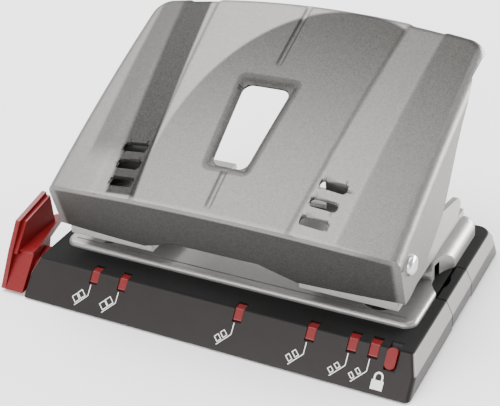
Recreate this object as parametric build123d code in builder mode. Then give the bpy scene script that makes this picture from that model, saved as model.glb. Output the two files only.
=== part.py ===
"""Two-hole office punch: plastic base, drawn-sheet paper table, punch brackets and sheet-metal lever.

Millimetres, +X to the user's right, +Y away from the user, +Z up.
Origin: centre of the base's outline on the surface that the punch stands on.
"""
import os
from math import atan2, cos, degrees, radians, sin, tan

from build123d import *

os.makedirs("parts", exist_ok=True)

# ---------------------------------------------------------------- base
base_half_width = 54.1      # at the top face
base_depth = 70.0           # at the foot
base_top = 9.0              # height of the top face
foot_height = 0.5           # rubber feet lift the shell by this much
slope_run = 8.1             # how far the front slope leans back
back_run = 4.6              # how far the back wall leans
side_lean = 0.42            # sideways lean of the side facets, per mm of height
side_flare = -0.5           # the lower band changes by this much towards the back
facet_front_z = 4.6         # height where the facet meets the lower band at the front
corner_radius = 4.0         # upright back corners
edge_round = 0.5            # rounding of the top face's edges
front_corner_radius = 1.2   # upright front corners
shell_wall = 1.4
rib_gap = 0.3               # from the guide bar to the rib behind it
bearing_width = 2.0         # of the hatch pin's bearings
top_wall = 1.8
y_front = -base_depth / 2
y_back = base_depth / 2
slope_top_y = y_front + slope_run
back_top_y = y_back - back_run
slope_angle = atan2(base_top - foot_height, slope_run)

# ---------------------------------------------------------------- paper table
sheet = 1.4
table_half_width = base_half_width - 2.9
table_front = -19.4         # front edge of the table
table_back = 28.2
table_corner = 4.5
table_front_corner = 3.2
paper_level = base_top + sheet
rear_step_y = -0.2          # front face of the raised rear: the paper's edge stops here
rear_level = 14.2           # top of the raised rear
rail_radius = 3.4           # rounding of the raised rear's long edges
rim_width = 2.6             # front rim, up to a fine step line
rim_step = 0.35             # width and depth of that line

# ---------------------------------------------------------------- punching
hole_spacing = 80.0
hole_x = hole_spacing / 2
pin_y = -12.0
pin_radius = 2.75
running_fit = 0.05          # radial clearance of the pin in its bush and die
paper_gap = 2.7
pin_set_back = 0.1          # the pin's tip rests this far up inside its bush
head_radius = 3.2
collar_height = 1.2
bush_bottom = paper_level + paper_gap
die_radius = 4.5
die_flange_radius = 5.2
die_height = 2.6
chip_hole_radius = 5.6

# ---------------------------------------------------------------- brackets
plate = 1.6                 # bracket sheet
jaw_inner_x = 21.4
jaw_front = -19.8
jaw_fold = 1.2              # height of the front fold above the plate
jaw_bevel = 2.6             # bevelled inner end of the jaw
cheek_gap = 6.0             # from the pin's axis to the cheek
cheek_inner_x = hole_x + cheek_gap
cheek_sheet = 1.5
cheek_outer_x = cheek_inner_x + cheek_sheet
bracket_back = 26.6
cheek_tail_z = 21.6         # top of the tab at the rear of the cheek
cheek_nose = 3.5            # radius of the cheek's nose round the hinge
pivot_y = -17.4
pivot_z = 26.6
rivet_radius = 2.0
rivet_head = 2.6
rivet_dome = 1.3            # height of the hinge rivets' round heads
rivet_places = ((28.0, 6.0), (28.0, 20.0), (41.0, 22.0))  # right side, mirrored at the left

# ---------------------------------------------------------------- handle
handle_sheet = 1.2
handle_half_width = 49.7
bend_y = -26.4              # front bend of the handle, on the middle plane
bend_z = 34.3
bend_bow = 2.1              # the bend curves back by this much at the sides
skirt_foot_y = -22.6        # on the middle plane
skirt_foot_z = 17.4
arch_half_width = 22.0
arch_top_half_width = 12.0
arch_rise = 3.6
handle_rear_y = 40.4
handle_rear_z = 64.3
handle_mid_rise = 1.2       # how far the top line is above the straight chord
dome_sag = 4.2              # drop of the domed top at the side walls
rear_corner = 6.0
top_edge_radius = 3.2
window_y = (-12.9, 10.8)
window_half = (4.8, 6.8)    # half widths at the front and the rear edge of the window
wall_edge = (               # lower edge of the side and rear walls, from hinge to rear
    (-18.0, 17.4), (-10.4, 19.2), (-1.4, 24.0), (4.5, 27.8), (8.9, 33.9), (13.9, 41.3),
    (17.7, 46.1), (22.3, 50.5), (27.3, 54.2), (34.0, 56.4), (62.0, 57.2),
)
slot_size = (7.2, 2.6)
slot_x = (27.1, 27.6, 28.1)
slot_y = (-21.1, -16.3, -11.5)
handle_stroke = 34.0        # degrees from open to pressed

# ---------------------------------------------------------------- paper guide
guide_face = base_half_width + 6.85     # stop face of the fin from the middle, guide closed
guide_tip = base_half_width - 1.9       # end of the bar inside the base, guide closed
guide_outer = base_half_width + 9.5
guide_block_inner = base_half_width + 2.3   # leaves a gap to the side of the base
bar_bottom = 2.6
bar_top = 6.9
bar_back = -19.2
guide_clearance = 0.25
fin_profile = ((6.3, 9.6), (11.6, 16.4), (24.4, 18.7), (24.4, 8.0))  # from y_front, height
format_stops = (148.5, 139.7, 105.0, 85.0, 74.0, 68.5)  # paper edge to middle, six formats
window_width = 2.6
window_sill = 6.3           # lower edge of the format windows
window_back = slope_top_y + 2.5
lens_sink = 0.15            # the red lenses lie this far behind the slope
lens_run = 1.9              # thickness of a lens along Y
lens_top = 8.8

# ---------------------------------------------------------------- lock, hatch, floor
lock_x = base_half_width - 4.7
lock_width = 2.6
lock_length = 5.2
lock_travel = 2.4
lock_proud = 0.8
hatch_y = (-4.7, 9.6)
hatch_gap = 0.3
hatch_pin_x = base_half_width - 0.6
hatch_pin_z = 2.5
hatch_pin_radius = 0.8
hatch_hinge_radius = 1.7
thumb_radius = 9.2
thumb_depth = 4.6
floor_sheet = 1.5
floor_half_width = base_half_width - 0.9
floor_front = y_front + 4.0
floor_back = y_back - 2.8
floor_z = 0.7
screw_radius = 1.3
boss_radius = 2.8
screw_x = base_half_width - 6.6
screw_rear_y = base_depth / 2 - 13.0
screw_front_y = -14.0       # behind the guide bar
screw_places = tuple((side * screw_x, y) for side in (-1, 1) for y in (screw_rear_y, screw_front_y))
foot_pad_radius = 5.0
pad_x = base_half_width - 14.1
pad_y = base_depth / 2 - 11.0
foot_pad_places = ((-pad_x, pad_y), (pad_x, pad_y), (-pad_x, -pad_y), (pad_x, -pad_y), (0.0, 0.0))
foot_pocket = 0.5           # the pads sit this deep in the floor plate

slope_plane = Plane(
    origin=(lock_x, slope_top_y, base_top),
    x_dir=(1, 0, 0),
    z_dir=(0, -sin(slope_angle), cos(slope_angle)),
)
lock_depth = shell_wall + guide_clearance   # the button's shank goes this deep
lock_catch = 0.8                            # thickness of the catch behind the wall
lock_catch_length = 2.2
lock_catch_drop = 0.6                       # keeps the catch clear of the top wall

pieces = {}


def keep(part, name):
    """Label a finished piece and write its file."""
    part.label = name
    export_step(part, f"parts/{name}.step")
    pieces[name] = part


def side_name(side):
    return "left" if side < 0 else "right"


# ================================================================ base shell
def base_block(inset):
    """Outer block of the base, or with an inset the room inside its walls."""
    top = base_top - (top_wall if inset else 0)
    slant = inset / sin(slope_angle)
    with BuildPart() as block:
        with BuildSketch(Plane.YZ.offset(-base_half_width - 6)):
            with BuildLine():
                Polyline(
                    (y_front + slant, foot_height),
                    (slope_top_y + slant - (base_top - top) / tan(slope_angle), top),
                    (back_top_y - inset, top),
                    (y_back - inset, foot_height),
                    close=True,
                )
            make_face()
        extrude(amount=2 * base_half_width + 12)
        # lower band of the side walls, a little narrower at the back
        band_front = base_half_width + side_lean * (base_top - facet_front_z) - inset
        with BuildSketch(Plane.XY):
            with BuildLine():
                Polyline(
                    (-band_front, y_front),
                    (band_front, y_front),
                    (band_front + side_flare, y_back),
                    (-band_front - side_flare, y_back),
                    close=True,
                )
            make_face()
        extrude(amount=base_top + 1, mode=Mode.INTERSECT)
        # side facets
        with BuildSketch(Plane.XZ.offset(-y_back - 5)):
            with BuildLine():
                reach = base_half_width - inset
                spread = side_lean * (base_top + 1)
                Polyline(
                    (-reach + side_lean, base_top + 1),
                    (reach - side_lean, base_top + 1),
                    (reach + spread, -1),
                    (-reach - spread, -1),
                    close=True,
                )
            make_face()
        extrude(amount=2 * y_back + 10, mode=Mode.INTERSECT)
        if not inset:
            upright = block.edges().filter_by(lambda e: abs(e.tangent_at(0.5).Z) > 0.5)
            upright = upright.filter_by(lambda e: abs(e.center().X) > 50)
            fillet(upright.filter_by(lambda e: e.center().Y > back_top_y - 1), radius=corner_radius)
            front_upright = block.edges().filter_by(lambda e: e.center().Y < slope_top_y)
            front_upright = front_upright.filter_by(lambda e: abs(e.tangent_at(0.5).Z) > 0.5)
            fillet(front_upright, radius=front_corner_radius)
            fillet(block.faces().sort_by(Axis.Z)[-1].edges(), radius=edge_round)
    return block.part


outer_block = base_block(0)
inner_block = base_block(shell_wall)
with BuildPart() as base_shell:
    add(outer_block)
    add(inner_block, mode=Mode.SUBTRACT)
    # rib behind the guide bar
    with BuildSketch(Plane.XY.offset(base_top - top_wall)):
        with Locations((0, bar_back + rib_gap + shell_wall / 2)):
            Rectangle(2 * base_half_width - 4, shell_wall)
    extrude(amount=-(base_top - top_wall - floor_z - floor_sheet))
    # screw bosses
    with BuildSketch(Plane.XY.offset(floor_z + floor_sheet)):
        with Locations(*screw_places):
            Circle(boss_radius)
            Circle(screw_radius, mode=Mode.SUBTRACT)
    extrude(amount=base_top - top_wall - floor_z - floor_sheet)
    # chip holes under the dies
    with Locations((-hole_x, pin_y, 0), (hole_x, pin_y, 0)):
        Cylinder(chip_hole_radius, 40, mode=Mode.SUBTRACT)
    # format windows over the top edge of the slope
    for stop in format_stops:
        window_x = guide_tip + guide_face - stop
        with BuildSketch(Plane.XY.offset(window_sill)):
            with Locations((window_x, (y_front + window_back) / 2)):
                Rectangle(window_width, window_back - y_front)
        extrude(amount=base_top, mode=Mode.SUBTRACT)
    # slot of the lock, with room for its travel up the slope
    with BuildSketch(slope_plane.offset(2)):
        with Locations((0, (lock_travel - lock_length) / 2)):
            Rectangle(lock_width + 0.5, lock_length + lock_travel + 0.6)
    extrude(amount=-(lock_depth + 2.2), mode=Mode.SUBTRACT)
    # way out for the guide bar at the left
    with BuildSketch(Plane.YZ.offset(-base_half_width - 4)):
        with BuildLine():
            bar_slant = (bar_top - bar_bottom) / tan(slope_angle)
            bar_front_low = y_front + (bar_bottom - foot_height) / tan(slope_angle)
            bar_front_low += (shell_wall + guide_clearance) / sin(slope_angle)
            Polyline(
                (bar_front_low - guide_clearance, bar_bottom - guide_clearance),
                (bar_front_low + bar_slant - guide_clearance, bar_top + guide_clearance),
                (bar_back + guide_clearance, bar_top + guide_clearance),
                (bar_back + guide_clearance, bar_bottom - guide_clearance),
                close=True,
            )
        make_face()
    extrude(amount=8, mode=Mode.SUBTRACT)
    # opening for the hatch, with the thumb room in the top face
    hatch_mid = (hatch_y[0] + hatch_y[1]) / 2
    hatch_length = hatch_y[1] - hatch_y[0]
    with Locations((base_half_width, hatch_mid, base_top / 2)):
        Box(6.4, hatch_length + 2 * hatch_gap, base_top + 6, mode=Mode.SUBTRACT)
    # bearings of the hatch pin beside the opening
    half_bearing = bearing_width / 2
    for end in (hatch_y[0] - hatch_gap - half_bearing, hatch_y[1] + hatch_gap + half_bearing):
        with BuildSketch(Plane.XZ.offset(-end + half_bearing)):
            with Locations((hatch_pin_x - 0.6, hatch_pin_z)):
                Rectangle(3.6, 2 * hatch_hinge_radius)
        extrude(amount=-bearing_width)
    with Locations((hatch_pin_x, hatch_mid, hatch_pin_z)):
        Cylinder(
            hatch_pin_radius + running_fit, hatch_length + 7, rotation=(90, 0, 0), mode=Mode.SUBTRACT
        )
keep(base_shell.part, "base_shell")

with BuildPart() as format_lenses:
    for stop in format_stops:
        window_x = guide_tip + guide_face - stop
        with BuildSketch(Plane.YZ.offset(window_x - window_width / 2)):
            with BuildLine():
                low_y = y_front + (window_sill - foot_height) / tan(slope_angle) + lens_sink
                high_y = y_front + (lens_top - foot_height) / tan(slope_angle) + lens_sink
                Polyline(
                    (low_y, window_sill),
                    (high_y, lens_top),
                    (high_y + lens_run, lens_top),
                    (low_y + lens_run, window_sill),
                    close=True,
                )
            make_face()
        extrude(amount=window_width)
    faces_out = format_lenses.faces().filter_by(lambda f: f.normal_at().Y < -0.5)
    fillet(faces_out.edges(), radius=0.3)
keep(format_lenses.part, "format_lenses")

# ================================================================ hatch
with BuildPart() as chip_hatch:
    add(outer_block)
    with Locations((base_half_width + 2.4, hatch_mid, base_top / 2 + foot_height / 2 + 0.3)):
        Box(9.6, hatch_length, base_top - foot_height - 0.6, mode=Mode.INTERSECT)
    # inner side: a thin wall above a round hinge barrel
    with BuildSketch(Plane.XZ.offset(-hatch_y[1] - 1)):
        with BuildLine():
            Polyline(
                (base_half_width - 6, hatch_pin_z + 0.8),
                (hatch_pin_x - 1.2, hatch_pin_z + 0.8),
                (base_half_width - shell_wall - 0.6, base_top - top_wall),
                (base_half_width - 2.9, base_top - top_wall),
                (base_half_width - 2.9, base_top + 1),
                (base_half_width - 6, base_top + 1),
                close=True,
            )
        make_face()
    extrude(amount=hatch_length + 2, mode=Mode.SUBTRACT)
    # thumb recess in the top edge
    with BuildSketch(Plane.XY.offset(base_top)):
        with Locations((base_half_width - 2.4 - thumb_radius + 3.6, hatch_mid)):
            Circle(thumb_radius - 3.0)
    extrude(amount=-1.4, mode=Mode.SUBTRACT)
    with Locations((hatch_pin_x, hatch_mid, hatch_pin_z)):
        Cylinder(
            hatch_pin_radius + running_fit, hatch_length + 2, rotation=(90, 0, 0), mode=Mode.SUBTRACT
        )
keep(chip_hatch.part, "chip_hatch")

with BuildPart() as hatch_pin:
    with Locations((hatch_pin_x, hatch_mid, hatch_pin_z)):
        Cylinder(
            hatch_pin_radius, hatch_length + 2 * hatch_gap + 1.8 * bearing_width, rotation=(90, 0, 0)
        )
keep(hatch_pin.part, "hatch_pin")

# ================================================================ base floor, screws, feet
with BuildPart() as base_floor:
    with BuildSketch(Plane.XY.offset(floor_z)):
        with Locations((0, (floor_front + floor_back) / 2)):
            RectangleRounded(2 * floor_half_width, floor_back - floor_front, 3.0)
    extrude(amount=floor_sheet)
    with BuildSketch(Plane.XY.offset(floor_z)):
        with Locations(*screw_places):
            Circle(screw_radius)
    extrude(amount=floor_sheet, mode=Mode.SUBTRACT)
    with BuildSketch(Plane.XY.offset(floor_z)):
        with Locations(*foot_pad_places):
            Circle(foot_pad_radius)
    extrude(amount=foot_pocket, mode=Mode.SUBTRACT)
    # room for the hatch's hinge barrel
    with Locations((base_half_width, hatch_mid, floor_z)):
        Box(7.4, hatch_length + 5.6, 4 * floor_sheet, mode=Mode.SUBTRACT)
keep(base_floor.part, "base_floor")

with BuildPart() as floor_screws:
    with BuildSketch(Plane.XY.offset(floor_z)):
        with Locations(*screw_places):
            Circle(screw_radius)
    extrude(amount=base_top - top_wall - floor_z - 0.6)
keep(floor_screws.part, "floor_screws")

with BuildPart() as rubber_feet:
    with BuildSketch(Plane.XY):
        with Locations(*foot_pad_places):
            Circle(foot_pad_radius)
    extrude(amount=floor_z + foot_pocket)
keep(rubber_feet.part, "rubber_feet")

# ================================================================ paper table
with BuildPart() as paper_table:
    # flat front part
    with BuildSketch(Plane.XY.offset(base_top)):
        with Locations((0, (table_front + rear_step_y) / 2 + 2)):
            RectangleRounded(2 * table_half_width, rear_step_y - table_front + 4, table_front_corner)
    extrude(amount=sheet)
    rim = paper_table.faces().sort_by(Axis.Z)[-1].edges().group_by(Axis.Y)[0]
    fillet(rim, radius=sheet * 0.8)
    # step line behind the front rim
    with Locations((0, table_front + rim_width, paper_level)):
        Box(2 * (table_half_width - rim_width), rim_step, 2 * rim_step, mode=Mode.SUBTRACT)
    # raised rear
    with BuildSketch(Plane.XY.offset(base_top)):
        with Locations((0, (rear_step_y + table_back) / 2)):
            RectangleRounded(2 * table_half_width, table_back - rear_step_y, table_corner - 1)
    extrude(amount=rear_level - base_top)
    top_rim = paper_table.faces().sort_by(Axis.Z)[-1].edges()
    long_rim = top_rim.filter_by(lambda e: abs(e.center().X) > hole_x or e.center().Y > rear_step_y + 2)
    fillet(long_rim, radius=rail_radius)
    # hollow under the raised rear
    with BuildSketch(Plane.XY.offset(base_top)):
        with Locations((0, (rear_step_y + table_back) / 2)):
            RectangleRounded(
                2 * (table_half_width - sheet - 1.2), table_back - rear_step_y - 2 * sheet - 1, 2.4
            )
    extrude(amount=rear_level - base_top - sheet, mode=Mode.SUBTRACT)
    # seats of the dies
    with Locations((-hole_x, pin_y, base_top), (hole_x, pin_y, base_top)):
        Cylinder(die_radius, 4 * sheet, mode=Mode.SUBTRACT)
    # rivet holes
    with Locations(*[(side * x, y, rear_level) for side in (-1, 1) for x, y in rivet_places]):
        Cylinder(rivet_radius, 4 * sheet, mode=Mode.SUBTRACT)
    # thumb recess beside the hatch
    with Locations((table_half_width + thumb_radius - thumb_depth + 1.6, hatch_mid, base_top)):
        Cylinder(thumb_radius, 30, mode=Mode.SUBTRACT)
keep(paper_table.part, "paper_table")

# ================================================================ one bracket, bush, die, pin, spring a side
spring_wire = 0.6
spring_radius = 4.6
bush_flange_z = rear_level + plate
bush_flange = 0.8
press_angle = radians(handle_stroke / 2)
arm = pin_y - pivot_y
head_centre_z = pivot_z + arm * tan(press_angle) - (head_radius + 0.08) / cos(press_angle)
collar_z = head_centre_z - collar_height
washer_height = 0.8
spring_floor = bush_flange_z + bush_flange
spring_top = collar_z - washer_height
pin_stroke = 3.3
bush_barrel_z = spring_top - pin_stroke - 0.4   # the washer stops short of the barrel

for side in (-1, 1):
    name = side_name(side)
    with BuildPart() as bracket:
        # plate: jaw over the paper slot and foot on the raised rear
        with BuildSketch(Plane.XY.offset(rear_level)):
            with BuildLine():
                Polyline(
                    (side * jaw_inner_x, jaw_front),
                    (side * cheek_outer_x, jaw_front),
                    (side * cheek_outer_x, bracket_back),
                    (side * jaw_inner_x, bracket_back),
                    close=True,
                )
            make_face()
        extrude(amount=plate)
        # front fold and bevelled inner fold of the jaw
        with BuildSketch(Plane.XZ.offset(-jaw_front)):
            with BuildLine():
                top_z = rear_level + plate + jaw_fold
                Polyline(
                    (side * (jaw_inner_x + 0.4), rear_level + plate),
                    (side * (jaw_inner_x + jaw_bevel), top_z),
                    (side * (cheek_outer_x - 0.2), top_z),
                    (side * (cheek_outer_x - 0.2), rear_level + plate),
                    close=True,
                )
            make_face()
        extrude(amount=-plate)
        # cheek that carries the hinge
        with BuildSketch(Plane.YZ.offset(side * cheek_inner_x)):
            with BuildLine():
                tail = bracket_back - 2.0
                Polyline(
                    (jaw_front + 1.2, rear_level + plate),
                    (pivot_y - cheek_nose, pivot_z),
                    (pivot_y, pivot_z + cheek_nose),
                    (tail - 2, cheek_tail_z),
                    (tail, cheek_tail_z - 3),
                    (tail - 2.5, rear_level + plate),
                    close=True,
                )
            make_face()
            with Locations((pivot_y, pivot_z)):
                Circle(cheek_nose)
        extrude(amount=side * cheek_sheet)
        tail_edge = bracket.edges().filter_by(Axis.X)
        tail_edge = tail_edge.filter_by(lambda e: e.center().Y > tail - 2.3 and e.center().Z > rear_level + 3)
        fillet(tail_edge, radius=1.6)
        # bush seat and rivet holes
        with Locations((side * hole_x, pin_y, rear_level)):
            Cylinder(die_radius - 0.5, 4 * plate, mode=Mode.SUBTRACT)
        with Locations(*[(side * x, y, rear_level) for x, y in rivet_places]):
            Cylinder(rivet_radius, 4 * plate, mode=Mode.SUBTRACT)
        with Locations((side * (cheek_inner_x + cheek_sheet / 2), pivot_y, pivot_z)):
            Cylinder(rivet_radius + running_fit, 4 * plate, rotation=(0, 90, 0), mode=Mode.SUBTRACT)
    keep(bracket.part, f"punch_bracket_{name}")

    with BuildPart() as bush:
        with BuildSketch(Plane.XY.offset(bush_bottom)):
            with Locations((side * hole_x, pin_y)):
                Circle(die_radius - 0.5)
        extrude(amount=bush_flange_z - bush_bottom)
        with BuildSketch(Plane.XY.offset(bush_flange_z)):
            with Locations((side * hole_x, pin_y)):
                Circle(spring_radius + 0.6)
        extrude(amount=bush_flange)
        with BuildSketch(Plane.XY.offset(bush_flange_z)):
            with Locations((side * hole_x, pin_y)):
                Circle(spring_radius - spring_wire / 2 - 0.35)
        extrude(amount=bush_barrel_z - bush_flange_z)
        with Locations((side * hole_x, pin_y, rear_level)):
            Cylinder(pin_radius + running_fit, 40, mode=Mode.SUBTRACT)
    keep(bush.part, f"guide_bush_{name}")

    with BuildPart() as die:
        with BuildSketch(Plane.XY.offset(paper_level)):
            with Locations((side * hole_x, pin_y)):
                Circle(die_radius)
        extrude(amount=-sheet)
        with BuildSketch(Plane.XY.offset(base_top)):
            with Locations((side * hole_x, pin_y)):
                Circle(die_flange_radius)
        extrude(amount=-(die_height - sheet))
        with Locations((side * hole_x, pin_y, base_top)):
            Cylinder(pin_radius + running_fit, 10, mode=Mode.SUBTRACT)
    keep(die.part, f"die_ring_{name}")

    pin_tip = bush_bottom + pin_set_back
    with BuildPart() as pin:
        with BuildSketch(Plane.XZ.offset(-pin_y)):
            with BuildLine():
                Polyline(
                    (side * hole_x, pin_tip + 0.6),
                    (side * hole_x + pin_radius, pin_tip),
                    (side * hole_x + pin_radius, collar_z),
                    (side * hole_x + head_radius, collar_z),
                    (side * hole_x + head_radius, head_centre_z),
                )
                CenterArc((side * hole_x, head_centre_z), head_radius, 0, 90)
                Line((side * hole_x, head_centre_z + head_radius), (side * hole_x, pin_tip + 0.6))
            make_face()
        revolve(axis=Axis((side * hole_x, pin_y, 0), (0, 0, 1)))
    keep(pin.part, f"punch_pin_{name}")

    with BuildPart() as washer:
        with BuildSketch(Plane.XY.offset(spring_top)):
            with Locations((side * hole_x, pin_y)):
                Circle(spring_radius + 0.6)
                Circle(pin_radius, mode=Mode.SUBTRACT)
        extrude(amount=washer_height)
    keep(washer.part, f"spring_washer_{name}")

    with BuildPart() as spring:
        coil_height = spring_top - spring_floor - spring_wire
        with BuildLine(Plane((side * hole_x, pin_y, spring_floor + spring_wire / 2))) as coil:
            Helix(pitch=coil_height / 4, height=coil_height, radius=spring_radius)
        with BuildSketch(Plane(origin=coil.line @ 0, z_dir=coil.line % 0)):
            Circle(spring_wire / 2)
        sweep(is_frenet=True)
    keep(spring.part, f"pin_spring_{name}")

# rivets that hold the brackets on the table
with BuildPart() as rivets:
    for side in (-1, 1):
        with BuildSketch(Plane.XY.offset(rear_level - sheet)):
            with Locations(*[(side * x, y) for x, y in rivet_places]):
                Circle(rivet_radius)
        extrude(amount=sheet + plate)
        with BuildSketch(Plane.XY.offset(rear_level + plate)):
            with Locations(*[(side * x, y) for x, y in rivet_places]):
                Circle(rivet_head)
        extrude(amount=1.2, taper=30)
keep(rivets.part, "bracket_rivets")


# ================================================================ handle
def handle_volume(inset):
    """Solid under the handle's skin, or with an inset the room inside its sheet."""
    front_lean = atan2(skirt_foot_y - bend_y, bend_z - skirt_foot_z)
    rear = handle_rear_y - inset
    top_front = bend_z - inset / cos(radians(25))
    low = skirt_foot_z - 12
    front = bend_y + inset / cos(front_lean)
    drop = front + (top_front - low) * tan(front_lean)
    slope = atan2(handle_rear_z - bend_z, handle_rear_y - bend_y)
    length = (handle_rear_y - bend_y) / cos(slope)
    long_radius = (length**2 / 4 + handle_mid_rise**2) / (2 * handle_mid_rise)
    dome_radius = (handle_half_width**2 + dome_sag**2) / (2 * dome_sag)
    normal = Vector(0, -sin(slope), cos(slope))
    crest = Vector(0, (bend_y + handle_rear_y) / 2, (bend_z + handle_rear_z) / 2)
    centre = crest + normal * (handle_mid_rise - long_radius)
    sweep_angle = 2.2 * degrees(length / long_radius)
    with BuildPart() as volume:
        # doubly curved top: a slice of a large ring whose axis lies far below
        start = slope - radians(sweep_angle) / 2
        with BuildSketch(Plane(origin=centre, x_dir=(1, 0, 0), z_dir=(0, cos(start), sin(start)))):
            with Locations((0, dome_radius - long_radius)):
                Circle(dome_radius - inset)
            with Locations((0, handle_half_width - long_radius)):
                Rectangle(3 * handle_half_width, 2.4 * handle_half_width, mode=Mode.INTERSECT)
        revolve(axis=Axis(centre, (1, 0, 0)), revolution_arc=sweep_angle)
        # skirt in front and wall at the rear
        with BuildSketch(Plane.YZ.offset(-handle_half_width + inset)):
            with BuildLine():
                high = handle_rear_z + 30
                rise = front - (high - top_front) * tan(front_lean) - 2 * bend_bow
                Polyline((rise, high), (rear, high), (rear, low), (drop - 2 * bend_bow, low), close=True)
            make_face()
        extrude(amount=2 * (handle_half_width - inset), mode=Mode.INTERSECT)
        # bowed front, leaning with the skirt
        front_plane = Plane.XY.offset(bend_z)
        with BuildSketch(front_plane):
            with BuildLine():
                wide = handle_half_width + 2
                ThreePointArc(
                    (-wide, bend_y + inset + bend_bow), (0, bend_y + inset), (wide, bend_y + inset + bend_bow)
                )
                Polyline(
                    (wide, bend_y + inset + bend_bow),
                    (wide, handle_rear_y + 40),
                    (-wide, handle_rear_y + 40),
                    (-wide, bend_y + inset + bend_bow),
                )
            make_face()
        lean = Vector(0, -sin(front_lean), cos(front_lean))
        extrude(amount=60, dir=lean, both=True, mode=Mode.INTERSECT)
        # round rear corners
        with BuildSketch(Plane.XY):
            with BuildLine():
                wide = handle_half_width - inset
                far_front = y_front - 10
                Polyline((wide, far_front), (wide, rear), (-wide, rear), (-wide, far_front), close=True)
            outline = make_face()
            corners = outline.vertices().group_by(Axis.Y)[-1]
            fillet(corners, radius=rear_corner - inset)
        extrude(amount=handle_rear_z + 20, mode=Mode.INTERSECT)
        top_face = volume.faces().sort_by(Axis.Z)[-1]
        rim = top_face.edges()
        bend_edge = rim.sort_by(Axis.Y)[0]
        fillet([edge for edge in rim if edge != bend_edge], radius=top_edge_radius - inset)
    return volume.part


outer_handle = handle_volume(0)
inner_handle = handle_volume(handle_sheet)
with BuildPart() as handle:
    add(outer_handle)
    add(inner_handle, mode=Mode.SUBTRACT)
    # lower edge of the side walls and the rear wall
    with BuildSketch(Plane.YZ.offset(-handle_half_width - 5)):
        with BuildLine():
            Polyline(
                (bend_y - 20, skirt_foot_z),
                *wall_edge,
                (wall_edge[-1][0], -20),
                (bend_y - 20, -20),
                close=True,
            )
        make_face()
    extrude(amount=2 * handle_half_width + 10, mode=Mode.SUBTRACT)
    # arch in the skirt
    with BuildSketch(Plane.XZ.offset(-bend_y + 12)):
        with BuildLine():
            Polyline(
                (-arch_half_width, skirt_foot_z - 1),
                (-arch_half_width, skirt_foot_z),
                (-arch_top_half_width, skirt_foot_z + arch_rise),
                (arch_top_half_width, skirt_foot_z + arch_rise),
                (arch_half_width, skirt_foot_z),
                (arch_half_width, skirt_foot_z - 1),
                close=True,
            )
        make_face()
    extrude(amount=-26, mode=Mode.SUBTRACT)
    # window for the hand, narrower at the front
    with BuildSketch(Plane.XY.offset(bend_z - 4)):
        with BuildLine():
            Polyline(
                (-window_half[0], window_y[0]),
                (window_half[0], window_y[0]),
                (window_half[1], window_y[1]),
                (-window_half[1], window_y[1]),
                close=True,
            )
        opening = make_face()
        fillet(opening.vertices(), radius=2.4)
    extrude(amount=60, mode=Mode.SUBTRACT)
    # three slots on each side
    with BuildSketch(Plane.XY.offset(bend_z - 8)):
        slots = [(side * x, y) for side in (-1, 1) for x, y in zip(slot_x, slot_y)]
        with Locations(*slots):
            RectangleRounded(*slot_size, slot_size[1] / 2 - 0.1)
    extrude(amount=60, mode=Mode.SUBTRACT)
    # hinge holes
    with Locations((0, pivot_y, pivot_z)):
        Cylinder(rivet_radius, 4 * handle_half_width, rotation=(0, 90, 0), mode=Mode.SUBTRACT)
keep(handle.part, "handle")

# rail inside the handle that pushes both pins
with BuildPart() as press_bar:
    bar_slope = tan(press_angle)
    bar_front = pin_y - 3.6
    bar_rear = pin_y + 4.4
    with BuildSketch(Plane.YZ.offset(-cheek_inner_x + 0.8)):
        with BuildLine():
            Polyline(
                (bar_front, pivot_z + (bar_front - pivot_y) * bar_slope),
                (bar_rear, pivot_z + (bar_rear - pivot_y) * bar_slope),
                (bar_rear, pivot_z + 40),
                (bar_front, pivot_z + 40),
                close=True,
            )
        make_face()
    extrude(amount=2 * cheek_inner_x - 1.6)
    add(inner_handle, mode=Mode.INTERSECT)
    # hollow above the foot plate, left open between the legs
    with BuildSketch(Plane.YZ.offset(-cheek_inner_x + 3.0)):
        with BuildLine():
            foot = 1.8
            Polyline(
                (bar_front - 1, pivot_z + foot + (bar_front - 1 - pivot_y) * bar_slope),
                (bar_rear - 1.6, pivot_z + foot + (bar_rear - 1.6 - pivot_y) * bar_slope),
                (bar_rear - 1.6, pivot_z + 40),
                (bar_front - 1, pivot_z + 40),
                close=True,
            )
        make_face()
    extrude(amount=2 * cheek_inner_x - 6.0, mode=Mode.SUBTRACT)
    # middle of the web cut away behind the window
    with BuildSketch(Plane.XZ.offset(-bar_rear - 2)):
        with Locations((0, pivot_z + 22)):
            Rectangle(2 * window_half[0] + 40, 34)
    extrude(amount=14, mode=Mode.SUBTRACT)
keep(press_bar.part, "press_bar")

for side in (-1, 1):
    name = side_name(side)
    with BuildPart() as rivet:
        with Locations((side * (cheek_inner_x + handle_half_width) / 2, pivot_y, pivot_z)):
            Cylinder(rivet_radius, handle_half_width - cheek_inner_x, rotation=(0, 90, 0))
        with BuildSketch(Plane.YZ.offset(side * handle_half_width)):
            with Locations((pivot_y, pivot_z)):
                Circle(rivet_head)
        extrude(amount=side * rivet_dome)
        rim = rivet.edges().filter_by(lambda e: abs(e.center().X) > handle_half_width + 1)
        fillet(rim, radius=rivet_dome - 0.1)
        with BuildSketch(Plane.YZ.offset(side * cheek_inner_x)):
            with Locations((pivot_y, pivot_z)):
                Circle(rivet_head - 0.2)
        extrude(amount=-side * 0.8)
    keep(rivet.part, f"hinge_rivet_{name}")

    with BuildPart() as spacer:
        gap = handle_half_width - handle_sheet - cheek_outer_x
        with BuildSketch(Plane.YZ.offset(side * cheek_outer_x)):
            with Locations((pivot_y, pivot_z)):
                Circle(cheek_nose - 0.8)
                Circle(rivet_radius + running_fit, mode=Mode.SUBTRACT)
        extrude(amount=side * (gap - running_fit))
    keep(spacer.part, f"hinge_washer_{name}")

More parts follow.
